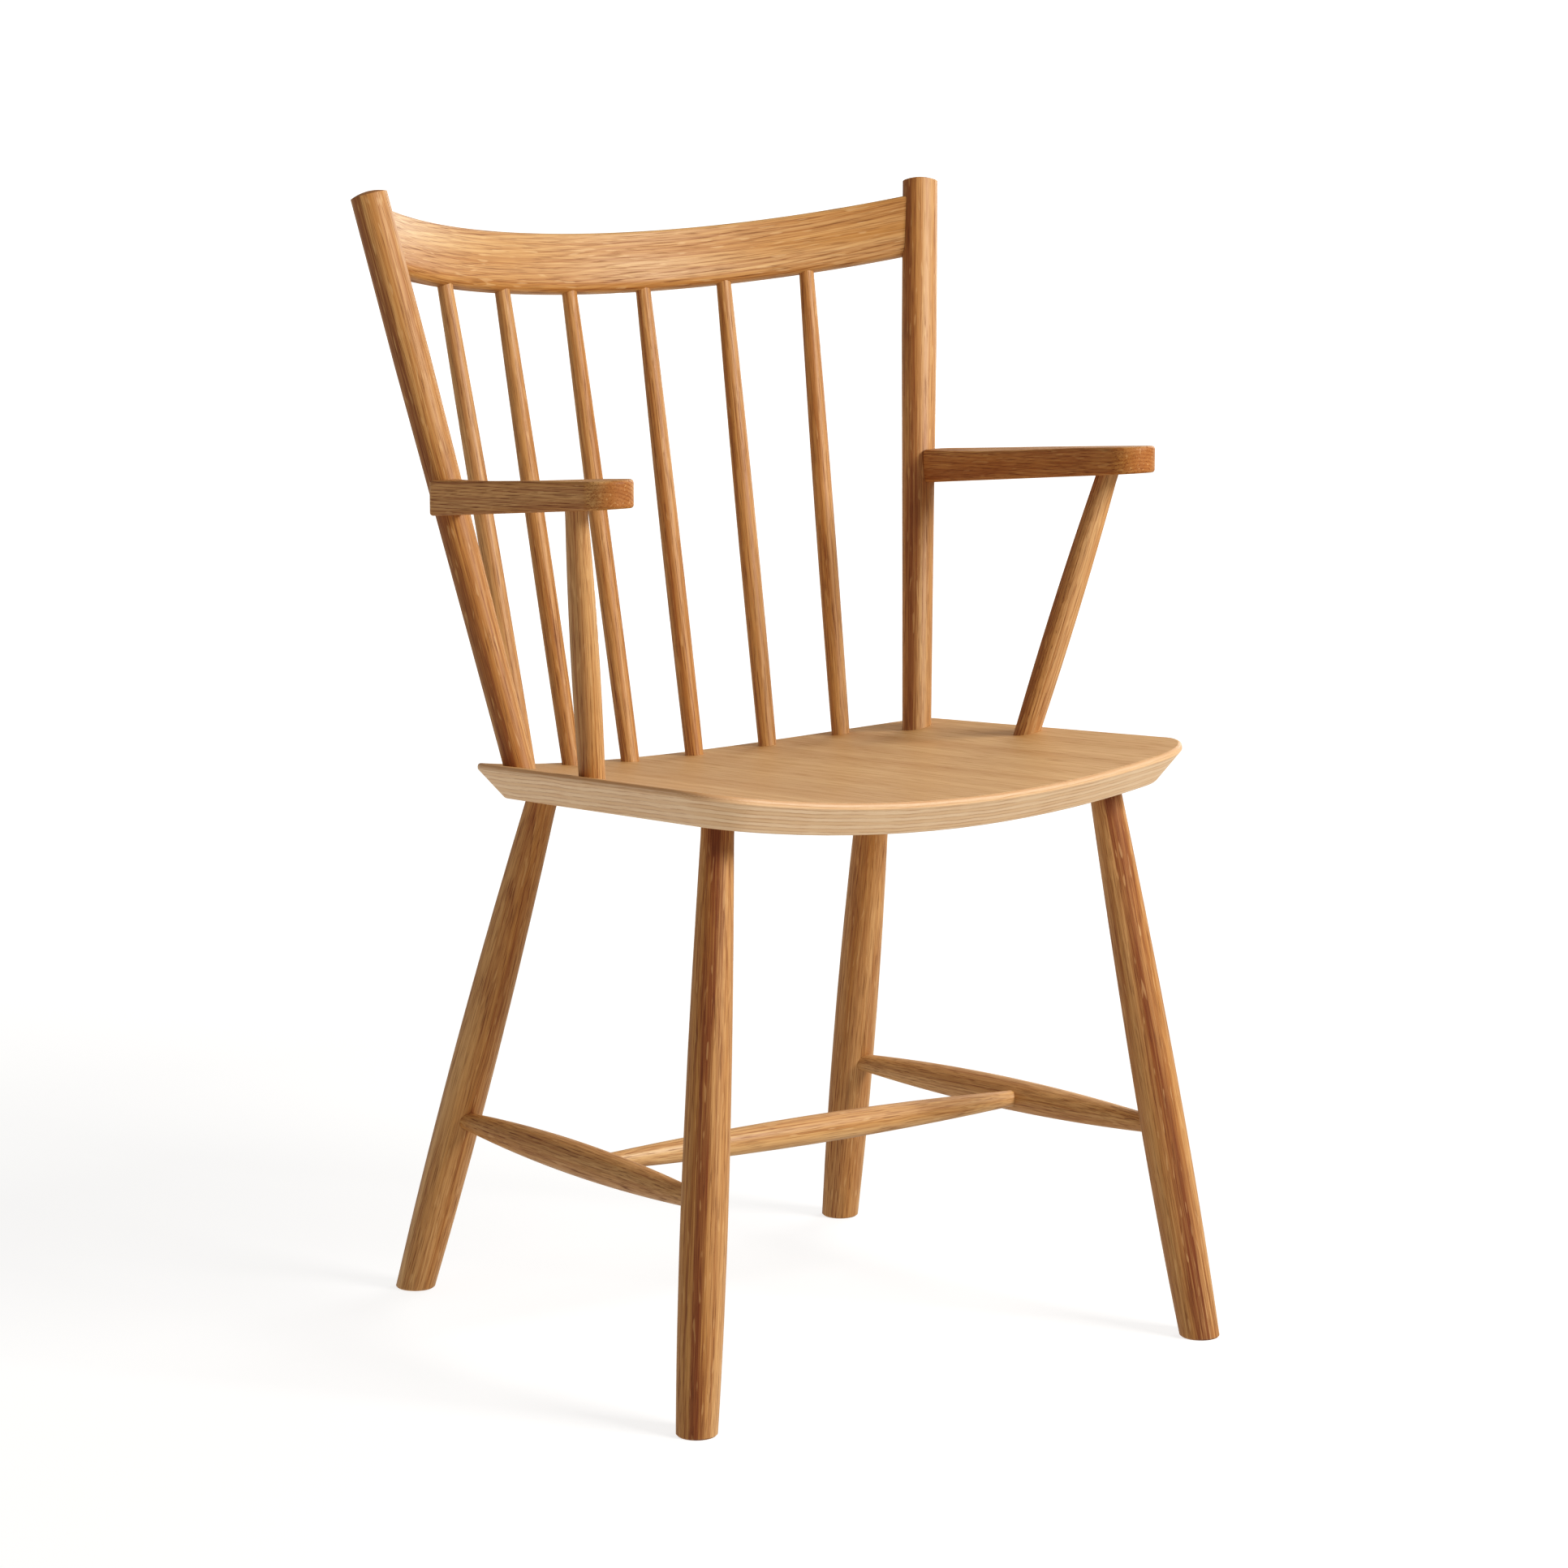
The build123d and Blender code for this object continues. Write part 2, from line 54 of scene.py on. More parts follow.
floor_base = 0.32
floor_glow = 0.75               # keeps the pale floor near white in the shadows
floor_near, floor_far = 1.0, 4.0        # the floor fades to the white of the room between these
room_glow = 1.1
room_reach = 30.0
print_curve = [(0.02, 0.011), (0.06, 0.041), (0.13, 0.110), (0.25, 0.235), (0.5, 0.505), (0.8, 0.82)]

ply_count = 9                   # veneers in the moulded seat
seat_thickness = 0.0245
seat_top_facing = 0.9           # a face of the seat that points this far up belongs to its top
crest_apex = (0.0, 0.2430, 0.7855)      # middle of the bent crest rail
crest_lean = 18.0               # degrees backwards
crest_radius = 0.372            # of the rail's bend
knot_height = 0.055             # above the floor
knot_leg_radius = 0.0155        # of the back leg at that height

sight = (Vector(camera_target) - Vector(camera_place)).normalized()
camera_right = sight.cross(Vector((0, 0, 1))).normalized()


# ---------------------------------------------------------------- node helpers
class Nodes:
    """A new material, with short ways to write its nodes."""

    def __init__(self, name):
        self.material = bpy.data.materials.new(name)
        self.material.use_nodes = True
        self.tree = self.material.node_tree
        self.tree.nodes.clear()

    def add(self, kind, **settings):
        node = self.tree.nodes.new(kind)
        for key, value in settings.items():
            setattr(node, key, value)
        return node

    def put(self, socket, value):
        if isinstance(value, bpy.types.NodeSocket):
            self.tree.links.new(value, socket)
        elif value is not None:
            socket.default_value = value

    def math(self, operation, a, b=None):
        node = self.add("ShaderNodeMath", operation=operation)
        for socket, value in zip(node.inputs, (a, b)):
            self.put(socket, value)
        return node.outputs[0]

    def vector(self, operation, a, b=None):
        node = self.add("ShaderNodeVectorMath", operation=operation)
        self.put(node.inputs[0], a)
        if b is not None:
            self.put(node.inputs[1], b)
        return node.outputs["Value" if operation in ("DOT_PRODUCT", "LENGTH") else "Vector"]

    def combine(self, x, y, z):
        node = self.add("ShaderNodeCombineXYZ")
        for socket, value in zip(node.inputs, (x, y, z)):
            self.put(socket, value)
        return node.outputs[0]

    def noise(self, place, scale=1.0, detail=2.0, roughness=0.5, distortion=0.0):
        node = self.add("ShaderNodeTexNoise")
        self.put(node.inputs["Vector"], place)
        self.put(node.inputs["Scale"], scale)
        self.put(node.inputs["Detail"], detail)
        self.put(node.inputs["Roughness"], roughness)
        self.put(node.inputs["Distortion"], distortion)
        return node.outputs[0]

    def stretch(self, place, across, along, shift=0.0):
        """Coordinates in repeats per metre, few along the grain, so that what is drawn runs with it."""
        scaled = self.vector("MULTIPLY", place, (across, across, along))
        return self.vector("ADD", scaled, (shift, shift * 0.7, shift * 1.3))

    def span(self, value, low, high, to_low=0.0, to_high=1.0):
        """Carries low..high over to to_low..to_high, and stops at both ends."""
        node = self.add("ShaderNodeMapRange", clamp=True)
        for socket, item in zip(node.inputs, (value, low, high, to_low, to_high)):
            self.put(socket, item)
        return node.outputs[0]

    def mix(self, share, a, b, blend="MIX"):
        """Colour a turning into colour b as share goes from 0 to 1."""
        node = self.add("ShaderNodeMix", data_type="RGBA", blend_type=blend, clamp_factor=True)
        self.put(node.inputs["Factor"], share)
        colours = [socket for socket in node.inputs if socket.type == "RGBA"]
        self.put(colours[0], a)
        self.put(colours[1], b)
        return [socket for socket in node.outputs if socket.type == "RGBA"][0]

    def ramp(self, value, stops):
        """stops: (position, grey level) pairs."""
        node = self.add("ShaderNodeValToRGB")
        ramp = node.color_ramp
        while len(ramp.elements) < len(stops):
            ramp.elements.new(0.5)
        for element, (place, level) in zip(ramp.elements, stops):
            element.position = place
            element.color = (level, level, level, 1)
        self.put(node.inputs[0], value)
        return node.outputs[0]


def colour(red, green, blue):
    """Linear colour from the usual 0-255 display values."""
    out = []
    for part in (red, green, blue):
        share = part / 255
        out.append(share / 12.92 if share <= 0.04045 else ((share + 0.055) / 1.055) ** 2.4)
    return (*out, 1.0)


# ---------------------------------------------------------------- grain directions
def mesh_points(name):
    mesh = nodes[name].data
    flat = np.zeros(len(mesh.vertices) * 3)
    mesh.vertices.foreach_get("co", flat)
    return flat.reshape(-1, 3)


def long_axis(name):
    """Middle of a piece and the unit vector along it, from its own mesh."""
    points = mesh_points(name)
    middle = (points.min(axis=0) + points.max(axis=0)) / 2
    spread = points - points.mean(axis=0)
    _, directions = np.linalg.eigh(spread.T @ spread)
    along = Vector(directions[:, -1])
    return Vector(middle), along if max(along, key=abs) > 0 else -along


def grain_frame(along, turn):
    """Three unit vectors: two across the grain, turned by an angle, and one along it."""
    guide = Vector((0, -1, 0)) if abs(along.y) < 0.9 else Vector((0, 0, 1))
    side = along.cross(guide).normalized()
    front = side.cross(along).normalized()
    angle = radians(turn)
    first = side * cos(angle) + front * sin(angle)
    return first, along.cross(first).normalized(), along


def local_place(wood, middle, axes):
    """Object coordinates turned so that Z runs along the grain."""
    place = wood.add("ShaderNodeTexCoord").outputs["Object"]
    place = wood.vector("SUBTRACT", place, tuple(middle))
    return wood.combine(*[wood.vector("DOT_PRODUCT", place, tuple(axis)) for axis in axes])


def bent_place(wood, turn):
    """Coordinates for the crest rail: Z runs along its bend, X up the rail turned by some degrees."""
    lean = radians(crest_lean)
    place = wood.add("ShaderNodeTexCoord").outputs["Object"]
    place = wood.vector("SUBTRACT", place, crest_apex)
    across = wood.vector("DOT_PRODUCT", place, (1.0, 0.0, 0.0))
    up = wood.vector("DOT_PRODUCT", place, (0.0, sin(lean), cos(lean)))
    back = wood.vector("DOT_PRODUCT", place, (0.0, cos(lean), -sin(lean)))
    back = wood.math("ADD", back, crest_radius)
    depth = wood.math("SUBTRACT", wood.vector("LENGTH", wood.combine(across, back, 0.0)), crest_radius)
    along = wood.math("MULTIPLY", wood.math("ARCTAN2", across, back), crest_radius)
    swing = radians(turn)
    section = wood.combine(up, depth, 0.0)
    x = wood.vector("DOT_PRODUCT", section, (cos(swing), sin(swing), 0.0))
    y = wood.vector("DOT_PRODUCT", section, (-sin(swing), cos(swing), 0.0))
    return wood.combine(x, y, along)


# ---------------------------------------------------------------- oak
pale = colour(222, 185, 136)
golden = colour(196, 146, 86)
brown = colour(144, 86, 40)
umber = colour(92, 48, 22)
# also painted shade: this brown darkens the shaded sides of the back posts and arm supports
heartwood = colour(122, 66, 32)
cut_end = colour(172, 116, 66)
knot_core = colour(58, 28, 16)
veneer_pale = colour(212, 172, 122)
veneer_golden = colour(196, 152, 102)
veneer_brown = colour(184, 134, 80)
ply_pale = colour(234, 206, 172)
ply_deep = colour(226, 194, 156)
ply_golden = colour(204, 158, 112)
ply_line = colour(160, 106, 66)
# painted shade: darker brown for the parts of the seat's edge that turn up towards the light
rim_painted_shade = colour(186, 136, 90)
bump_depth = 0.0003

# repeats per metre of each part of the figure: across the grain, then along it
ring_wander = (9.0, 2.6)
ring_ragged = (160.0, 7.0)
ring_fade = (70.0, 3.0)
pore_lines = (1500.0, 40.0)
fibre_lines = (900.0, 7.0)
strand_lines = (420.0, 2.6)
ray_flecks = (480.0, 60.0)
tone_clouds = (42.0, 1.6)
heart_streaks = (150.0, 2.4)
band_drift = (8.0, 5.0)
band_ragged = (520.0, 6.0)
band_lines = (1000.0, 12.0)


def growth_rings(wood, place, pith, slope, width, wobble, seed):
    """0-1 through each year's ring, and the count of rings from the pith, which leans to the grain."""
    wander = wood.noise(wood.stretch(place, *ring_wander, seed))
    drift = wood.span(wander, 0.0, 1.0, -wobble, wobble)
    parts = wood.add("ShaderNodeSeparateXYZ")
    wood.put(parts.inputs[0], place)
    away = wood.math("ADD", wood.math("MULTIPLY", parts.outputs[2], slope), -pith)
    x = wood.math("SUBTRACT", parts.outputs[0], away)
    x = wood.math("ADD", x, drift)
    radius = wood.vector("LENGTH", wood.combine(x, parts.outputs[1], 0.0))
    ragged = wood.noise(wood.stretch(place, *ring_ragged, seed + 3))
    count = wood.math("DIVIDE", radius, width)
    count = wood.math("ADD", count, wood.math("MULTIPLY", ragged, 0.45))
    return wood.math("FRACT", count), count


def heartwood_and_shade_band(wood, middle, along, band, seed):
    """A darker band that runs the length of a piece: (offset, half width, strength). On the front legs
    it is heartwood, on the back posts and arm supports it is painted shade down the side away from the
    key light.
    """
    offset, half_width, strength = band
    across = camera_right - along * camera_right.dot(along)
    place = wood.add("ShaderNodeTexCoord").outputs["Object"]
    place = wood.vector("SUBTRACT", place, tuple(middle))
    side = wood.vector("DOT_PRODUCT", place, tuple(across.normalized()))
    run = wood.vector("DOT_PRODUCT", place, tuple(along))
    place = wood.combine(side, 0.0, run)
    drift = wood.noise(wood.stretch(place, *band_drift, seed), detail=1.0)
    ragged = wood.noise(wood.stretch(place, *band_ragged, seed + 2), detail=3.0, roughness=0.7)
    drift = wood.span(drift, 0.3, 0.7, -0.35 * half_width, 0.35 * half_width)
    ragged = wood.span(ragged, 0.25, 0.75, -0.75 * half_width, 0.75 * half_width)
    reach = wood.math("SUBTRACT", wood.math("ADD", side, wood.math("ADD", drift, ragged)), offset)
    inside = wood.span(wood.math("ABSOLUTE", reach), 0.25 * half_width, half_width, strength, 0.0)
    lines = wood.noise(wood.stretch(place, *band_lines, seed + 4), detail=3.0, roughness=0.7)
    return wood.math("MULTIPLY", inside, wood.span(lines, 0.36, 0.62, 0.58, 1.0))


def ring_figure(wood, place, rings, seed):
    """Soft dark early wood of each ring, fading in and out, and a grey level for each year."""
    share, count = growth_rings(wood, place, *rings, seed)
    early = wood.ramp(share, [(0.0, 0.7), (0.10, 1.0), (0.30, 0.25), (0.78, 0.0), (1.0, 0.7)])
    fade = wood.noise(wood.stretch(place, *ring_fade, seed + 5), detail=1.0)
    early = wood.math("MULTIPLY", early, wood.span(fade, 0.3, 0.65, 0.25, 1.0))
    year = wood.combine(wood.math("FLOOR", count), seed, 0.0)
    return early, wood.noise(year, scale=0.73, detail=0.0)


def pore_figure(wood, place, early, seed):
    """Fine dark open pores, thickest in the early wood."""
    pores = wood.noise(wood.stretch(place, *pore_lines, seed + 7), detail=1.0)
    pores = wood.span(pores, 0.54, 0.64)
    return wood.math("MULTIPLY", pores, wood.span(early, 0.0, 1.0, 0.45, 1.0))


def plain_figure(wood, place, cloud, fibre, seed):
    """Pale to golden wood with paler and darker fibres and broader brown strands."""
    strand = wood.noise(wood.stretch(place, *strand_lines, seed + 13), detail=3.0, roughness=0.7)
    base = wood.mix(wood.span(cloud, 0.34, 0.66), pale, golden)
    base = wood.mix(wood.span(fibre, 0.48, 0.76, 0.0, 0.60), base, brown)
    base = wood.mix(wood.span(fibre, 0.24, 0.46, 0.40, 0.0), base, pale)
    return wood.mix(wood.span(strand, 0.50, 0.68, 0.0, 0.50), base, brown)


def heart_streak(wood, place, streak, seed):
    """Broad dark streaks along the grain."""
    heart = wood.noise(wood.stretch(place, *heart_streaks, seed + 31), detail=4.0, roughness=0.6)
    return wood.math("MULTIPLY", wood.span(heart, 0.50, 0.70), streak)


def relief(wood, pores, early, fibre):
    """Open pores and soft early wood lie low, fibres stand up a little."""
    height = wood.math("MULTIPLY", pores, -0.7)
    height = wood.math("ADD", height, wood.math("MULTIPLY", early, -0.25))
    return wood.math("ADD", height, wood.math("MULTIPLY", fibre, 0.3))


def end_grain(wood, along):
    """1 where the surface faces along the grain, 0 on the sides."""
    normal = wood.add("ShaderNodeNewGeometry").outputs["True Normal"]
    facing = wood.math("ABSOLUTE", wood.vector("DOT_PRODUCT", normal, tuple(along)))
    return wood.span(facing, 0.50, 0.95)


def toned(wood, base, tone, warmth):
    """The piece as a whole a little darker and warmer."""
    darker = (1 - 0.36 * tone, 1 - 0.52 * tone, 1 - 0.68 * tone, 1)
    base = wood.mix(1.0, base, darker, "MULTIPLY")
    if warmth:
        base = wood.mix(1.0, base, (1, 1 - 0.10 * warmth, 1 - 0.20 * warmth, 1), "MULTIPLY")
    return base


def oak(
    name,
    middle,
    axes,
    seed,
    tone=0.0,
    streak=0.5,
    pith=0.05,
    slope=0.014,
    ring=0.0026,
    wobble=0.0018,
    ring_depth=0.42,
    warmth=0.0,
    end_dark=0.42,
    gloss=0.42,
    bands=(),
    bend=None,
    extra=None,
):
    """Oiled oak. tone darkens the piece, streak is the strength of its dark heartwood streaks,
    pith, slope, ring and wobble are metres (slope a ratio), bend turns the crest rail's figure."""
    wood = Nodes(name)
    place = local_place(wood, middle, axes) if bend is None else bent_place(wood, bend)
    early, year = ring_figure(wood, place, (pith, slope, ring, wobble), seed)
    pores = pore_figure(wood, place, early, seed)
    end = end_grain(wood, axes[2])
    fibre = wood.noise(wood.stretch(place, *fibre_lines, seed + 11), detail=3.0, roughness=0.65)
    flecks = wood.noise(wood.stretch(place, *ray_flecks, seed + 17), detail=0.0)
    cloud = wood.stretch(place, *tone_clouds, seed + 23)
    cloud = wood.noise(cloud, detail=3.0, roughness=0.55, distortion=0.2)

    base = plain_figure(wood, place, cloud, fibre, seed)
    base = wood.mix(wood.math("MULTIPLY", end, end_dark), base, cut_end)
    ring_share = wood.math("MULTIPLY", early, wood.span(end, 0.0, 1.0, ring_depth, 0.85))
    base = wood.mix(ring_share, base, brown)
    base = wood.mix(wood.span(year, 0.35, 0.75, 0.0, 0.22), base, brown)
    base = wood.mix(heart_streak(wood, place, streak, seed), base, brown)
    # heartwood bands, and painted shade bands down the shaded sides of some pieces
    for band in bands:
        base = wood.mix(heartwood_and_shade_band(wood, middle, axes[2], band, seed), base, heartwood)
    base = wood.mix(wood.math("MULTIPLY", pores, 0.66), base, umber)
    base = wood.mix(wood.math("MULTIPLY", wood.span(flecks, 0.70, 0.77), 0.36), base, pale)
    base = toned(wood, base, tone, warmth)
    height = relief(wood, pores, early, fibre)
    if extra:
        base, height = extra(wood, place, base, height)
    finish(wood, base, height, cloud, pores, gloss)
    return wood.material


def finish(wood, base, height, cloud, pores, gloss=0.42, strength=0.25):
    """Oiled, nearly matt surface: duller in the pores, a little uneven from handling."""
    shader = wood.add("ShaderNodeBsdfPrincipled")
    rough = wood.span(cloud, 0.2, 0.8, 0.42, 0.54)
    rough = wood.math("ADD", rough, wood.math("MULTIPLY", pores, 0.18))
    bump = wood.add("ShaderNodeBump")
    wood.put(bump.inputs["Height"], height)
    wood.put(bump.inputs["Strength"], strength)
    wood.put(bump.inputs["Distance"], bump_depth)
    wood.put(shader.inputs["Base Color"], base)
    wood.put(shader.inputs["Roughness"], rough)
    wood.put(shader.inputs["Normal"], bump.outputs[0])
    wood.put(shader.inputs["Specular IOR Level"], gloss)
    output = wood.add("ShaderNodeOutputMaterial")
    wood.tree.links.new(shader.outputs[0], output.inputs["Surface"])


knot_ragged = (260.0, 90.0)     # repeats per metre across and along the grain
knot_uneven = 0.0012            # metres the knot's outline wanders in and out
knot_core_edge = (0.0008, 0.0028)       # from where the dark core starts to fade, to where it ends
knot_halo_edge = (0.0016, 0.0072)
knot_draw = 0.19                # width of the knot over its length along the grain


def small_knot(at):
    """A dark pin knot drawn out along the grain, at a place in the piece's own grain frame."""

    def draw(wood, place, base, height):
        offset = wood.vector("SUBTRACT", place, at)
        ragged = wood.noise(wood.stretch(place, *knot_ragged, 4.0))
        offset = wood.vector("MULTIPLY", offset, (1.0, 1.0, knot_draw))
        reach = wood.vector("LENGTH", offset)
        reach = wood.math("ADD", reach, wood.span(ragged, 0.2, 0.8, -knot_uneven, knot_uneven))
        core = wood.span(reach, *knot_core_edge, 1.0, 0.0)
        halo = wood.span(reach, *knot_halo_edge, 0.55, 0.0)
        base = wood.mix(halo, base, brown)
        base = wood.mix(core, base, knot_core)
        return base, wood.math("SUBTRACT", height, wood.math("MULTIPLY", core, 1.5))

    return draw


# ---------------------------------------------------------------- seat veneer
veneer_bands = (60.0, 1.4)      # repeats per metre across and along the grain
veneer_lines = (420.0, 4.0)
veneer_pores = (1100.0, 28.0)
veneer_clouds = (9.0, 3.0)
ply_waver = (26.0, 26.0)
ply_patches = (38.0, 38.0)
ply_grain = (26.0, 34.0, 34.0)
ply_grain_depth = 60.0          # squeezes the ply's grain down through the seat


def face_veneer(wood, flat, fine, pores):
    """Straight close grain from front to back."""
    bands = wood.noise(wood.stretch(flat, *veneer_bands, 2.0), detail=4.0, roughness=0.62)
    face = wood.mix(wood.span(bands, 0.36, 0.66), veneer_pale, veneer_golden)
    face = wood.mix(wood.span(fine, 0.42, 0.70, 0.0, 0.45), face, veneer_brown)
    return wood.mix(wood.math("MULTIPLY", pores, 0.38), face, brown)


def ply_edge(wood, place, parts):
    """Thin veneers one over the other, every other one a little deeper, with thin dark glue lines."""
    depth = seat_depth(wood)
    layer = wood.math("MULTIPLY", depth, ply_count / seat_thickness)
    waver = wood.noise(wood.stretch(place, *ply_waver, 21.0), detail=4.0, roughness=0.6)
    layer = wood.math("ADD", layer, wood.span(waver, 0.2, 0.8, -0.30, 0.30))
    turn = wood.math("MODULO", wood.math("FLOOR", layer), 2.0)
    step = wood.math("FRACT", layer)
    line = wood.ramp(step, [(0.0, 1.0), (0.14, 0.30), (0.34, 0.0), (0.82, 0.0), (1.0, 1.0)])
    patch = wood.noise(wood.stretch(place, *ply_patches, 27.0), detail=3.0, roughness=0.6)
    line = wood.math("MULTIPLY", line, wood.span(patch, 0.34, 0.60, 0.15, 1.0))
    flow = wood.math("MULTIPLY", depth, ply_grain_depth)
    flow = wood.combine(flow, parts.outputs[0], parts.outputs[2])
    grain = wood.noise(wood.vector("MULTIPLY", flow, ply_grain), detail=4.0, roughness=0.65)
    ply = wood.mix(turn, ply_pale, ply_deep)
    ply = wood.mix(wood.span(grain, 0.45, 0.68, 0.0, 0.45), ply, ply_golden)
    return wood.mix(wood.math("MULTIPLY", line, 0.62), ply, ply_line), line


def seat_material(name):
    """Pale oak face veneer on the broad faces, with the ply edges showing on the bevel."""
    wood = Nodes(name)
    low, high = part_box("seat_panel")
    middle = (Vector(low) + Vector(high)) / 2
    axes = (Vector((1, 0, 0)), Vector((0, 0, 1)), Vector((0, -1, 0)))
    place = local_place(wood, middle, axes)
    parts = wood.add("ShaderNodeSeparateXYZ")
    wood.put(parts.inputs[0], place)
    flat = wood.combine(parts.outputs[0], 0.0, parts.outputs[2])

    fine = wood.noise(wood.stretch(flat, *veneer_lines, 5.0), detail=3.0, roughness=0.6)
    pores = wood.noise(wood.stretch(flat, *veneer_pores, 9.0), detail=1.0)
    pores = wood.span(pores, 0.56, 0.70)
    cloud = wood.noise(wood.stretch(flat, *veneer_clouds, 13.0))
    face = face_veneer(wood, flat, fine, pores)
    ply, line = ply_edge(wood, place, parts)

    normal = wood.add("ShaderNodeNewGeometry").outputs["True Normal"]
    tilt = wood.vector("DOT_PRODUCT", normal, (0.0, 0.0, 1.0))
    flatness = wood.span(wood.math("ABSOLUTE", tilt), 0.90, 0.97)
    # painted shade: the more the edge faces up into the light, the darker it is painted
    ply = wood.mix(wood.span(tilt, -0.2, 0.3, 0.0, 0.72), ply, rim_painted_shade)
    base = wood.mix(flatness, ply, face)
    height = wood.math("MULTIPLY", pores, -0.5)
    height = wood.math("ADD", height, wood.math("MULTIPLY", fine, 0.3))
    height = wood.math("SUBTRACT", height, wood.math("MULTIPLY", line, 0.3))
    finish(wood, base, height, cloud, pores, strength=0.15)
    return wood.material


def seat_depth(wood):
    """Depth below the seat's dished, tipped top face, in metres."""
    across, drop, forward = seat_shape
    place = wood.add("ShaderNodeTexCoord").outputs["Object"]
    parts = wood.add("ShaderNodeSeparateXYZ")
    wood.put(parts.inputs[0], place)
    dish = wood.math("MULTIPLY", wood.math("POWER", parts.outputs[0], 2.0), across)
    slope = wood.math("MULTIPLY", parts.outputs[1], forward)
    surface = wood.math("ADD", wood.math("ADD", dish, slope), drop)
    return wood.math("SUBTRACT", surface, parts.outputs[2])


def fit_seat_top():
    """Dish, height and slope of the seat's top face, fitted to the mesh's own upward faces."""
    mesh = nodes["seat_panel"].data
    rows = []
    heights = []
    for polygon in mesh.polygons:
        if polygon.normal.z > seat_top_facing:
            x, y, z = polygon.center
            rows.append((x * x, 1.0, y))
            heights.append(z)
    return np.linalg.lstsq(np.array(rows), np.array(heights), rcond=None)[0]


seat_shape = [float(value) for value in fit_seat_top()]


# ---------------------------------------------------------------- dress every node
def dress(name, material):
    """Puts one material on the whole of a piece."""
    data = nodes[name].data
    data.materials.clear()
    data.materials.append(material)
    for polygon in data.polygons:
        polygon.material_index = 0


# bands are (offset to the viewer's right, half width, strength), in metres; the front legs' band is
# heartwood, the back posts' and arm supports' bands are painted shade on their sides away from the key
# light
leg_band = (0.0, 0.0085, 1.0)
# painted shade: a dark band down the back posts' side away from the key light
post_shade_band = (-0.007, 0.0065, 0.70)
# painted shade: a dark band down the arm supports' side away from the key light
support_shade_band = (-0.006, 0.006, 0.35)
looks = {
    "front_leg": dict(tone=0.20, streak=0.50, pith=0.045, ring=0.0034, warmth=0.4, bands=[leg_band]),
    "back_leg": dict(tone=0.26, streak=0.35, pith=0.045, ring=0.0030, warmth=0.3),
    "back_post": dict(tone=0.08, streak=0.40, pith=0.040, ring=0.0032, warmth=0.3, bands=[post_shade_band]),
    "outer_spindle": dict(tone=0.20, streak=0.45, pith=0.040, ring=0.0024, warmth=0.4),
    "middle_spindle": dict(tone=0.18, streak=0.45, pith=0.050, ring=0.0026, warmth=0.3),
    "inner_spindle": dict(tone=0.18, streak=0.50, pith=0.035, ring=0.0024, warmth=0.4),
    "arm_support": dict(tone=0.18, streak=0.35, warmth=0.3, bands=[support_shade_band]),
    "side_stretcher": dict(tone=0.18, streak=0.35, pith=0.045, warmth=0.3),
    "arm_dowel": dict(tone=0.10, streak=0.10, pith=0.045, ring=0.0024),
}
near_leg_painted_shade = 0.14            # painted shade: how much darker the sitter's right front leg is than the left one
turns = {"left": 25.0, "right": 115.0}      # degrees the rings are turned about the grain


def dress_round_pieces():
    """Legs, posts, spindles, supports, dowels and side stretchers, each with a figure of its own."""
    for order, (kind, look) in enumerate(looks.items()):
        for side, turn in turns.items():
            name = f"{kind}_{side}"
            middle, along = long_axis(name)
            axes = grain_frame(along, turn + 40 * order)
            seed = 3.1 + 7.7 * order + (3.9 if side == "left" else 0.0)
            extra = None
            if name == "back_leg_left":
                extra = leg_knot(name, middle, axes)
            # painted shade: the sitter's right front leg is made darker for the weaker light on it
            if name == "front_leg_right":
                look = dict(look, tone=look["tone"] + near_leg_painted_shade)
            dress(name, oak(f"oak_{name}", middle, axes, seed, extra=extra, **look))


def leg_knot(name, middle, axes):
    """The one pin knot, low on the front of the sitter's left back leg."""
    low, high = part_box(name)
    along = axes[2]
    centre = middle + along * ((low[2] + knot_height - middle.z) / along.z)
    toward = Vector((camera_place[0], camera_place[1], 0)) - Vector((centre.x, centre.y, 0))
    surface = centre + toward.normalized() * knot_leg_radius - middle
    return small_knot(tuple(surface.dot(axis) for axis in axes))


def dress_boards():
    """Crest rail, arms, seat and centre stretcher."""
    middle, _ = long_axis("crest_rail")
    axes = (Vector((0, 0, 1)), Vector((0, 1, 0)), Vector((1, 0, 0)))
    crest = oak(
        "oak_crest", middle, axes, 41.0, tone=0.05, streak=0.20, pith=0.15, slope=0.07,
        ring=0.0040, wobble=0.013, ring_depth=0.50, bend=14.0,
    )
    dress("crest_rail", crest)
    middle, along = long_axis("centre_stretcher")
    axes = grain_frame(along, 60)
    dress("centre_stretcher", oak("oak_centre_stretcher", middle, axes, 53.0, tone=0.02, streak=0.22))
    for side, turn in turns.items():
        name = f"arm_{side}"
        middle, along = long_axis(name)
        board = oak(
            f"oak_{name}", middle, grain_frame(along, 80), 61.0 + turn, tone=0.30, streak=0.40,
            pith=0.035, slope=0.05, ring_depth=0.55, warmth=0.4, end_dark=0.85, gloss=0.25,
        )
        dress(name, board)
    dress("seat_panel", seat_material("oak_seat_veneer"))


dress_round_pieces()
dress_boards()


